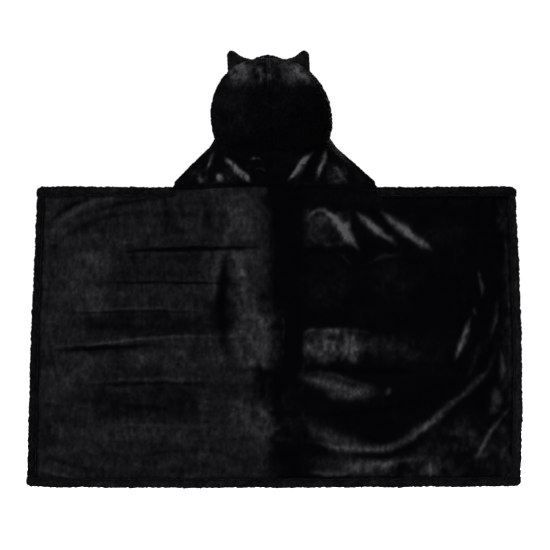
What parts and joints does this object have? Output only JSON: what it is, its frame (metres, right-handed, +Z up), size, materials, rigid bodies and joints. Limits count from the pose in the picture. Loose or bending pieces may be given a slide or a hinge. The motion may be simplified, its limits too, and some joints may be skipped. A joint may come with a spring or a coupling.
{
  "type": "hooded plush cape",
  "caption": "Wide black plush costume cape with a round padded hood and small upright ears, lined and bound all round; the hood folds back and the sides wrap forward.",
  "frame": {"origin": "middle of the neck seam, where the hood's yoke is sewn to the cape body, midway through the cloth", "axes": "+Z up as worn, +X towards the wearer's right, +Y the way the wearer faces; the plush outside of the back panel faces -Y"},
  "size_m": [1.295, 0.2225, 1.152],
  "materials": {
    "outer_plush": "short silky pile that shows brushed sheen streaks",
    "lining_fleece": "matt short fleece",
    "edge_plush": "fuzzy plush strip with a stitched edge",
    "tape": "matt twill tape",
    "wadding": "loose white polyester wadding",
    "label_satin": "blank white satin ribbon"
  },
  "bodies": {
    "back": {"back_panel_shell": "outer_plush", "back_panel_lining": "lining_fleece", "back_bottom_binding": "edge_plush", "neck_tape": "tape", "care_label": "label_satin"},
    "left_wing": {"left_wing_shell": "outer_plush", "left_wing_lining": "lining_fleece", "left_top_binding": "edge_plush", "left_side_binding": "edge_plush", "left_bottom_binding": "edge_plush"},
    "right_wing": {"right_wing_shell": "outer_plush", "right_wing_lining": "lining_fleece", "right_top_binding": "edge_plush", "right_side_binding": "edge_plush", "right_bottom_binding": "edge_plush"},
    "hood": {"left_hood_shell": "outer_plush", "right_hood_shell": "outer_plush", "left_hood_wadding": "wadding", "right_hood_wadding": "wadding", "left_hood_lining": "lining_fleece", "right_hood_lining": "lining_fleece", "hood_seam_tape": "tape", "left_yoke_shell": "outer_plush", "right_yoke_shell": "outer_plush", "left_yoke_lining": "lining_fleece", "right_yoke_lining": "lining_fleece", "left_yoke_binding": "edge_plush", "right_yoke_binding": "edge_plush", "face_brim": "edge_plush", "left_ear_back": "outer_plush", "left_ear_filling": "wadding", "left_ear_front": "outer_plush", "right_ear_back": "outer_plush", "right_ear_filling": "wadding", "right_ear_front": "outer_plush"}
  },
  "joints": [
    {"name": "hood_fold", "type": "hinge", "parent": "back", "child": "hood", "pos_m": [0, -0.0037, 0], "axis": [1, 0, 0], "range_deg": [-25, 150]},
    {"name": "left_wing_wrap", "type": "hinge", "parent": "back", "child": "left_wing", "pos_m": [-0.275, 0.003, 0], "axis": [0, 0, -1], "range_deg": [-35, 100]},
    {"name": "right_wing_wrap", "type": "hinge", "parent": "back", "child": "right_wing", "pos_m": [0.275, 0.003, 0], "axis": [0, 0, 1], "range_deg": [-35, 100]}
  ]
}
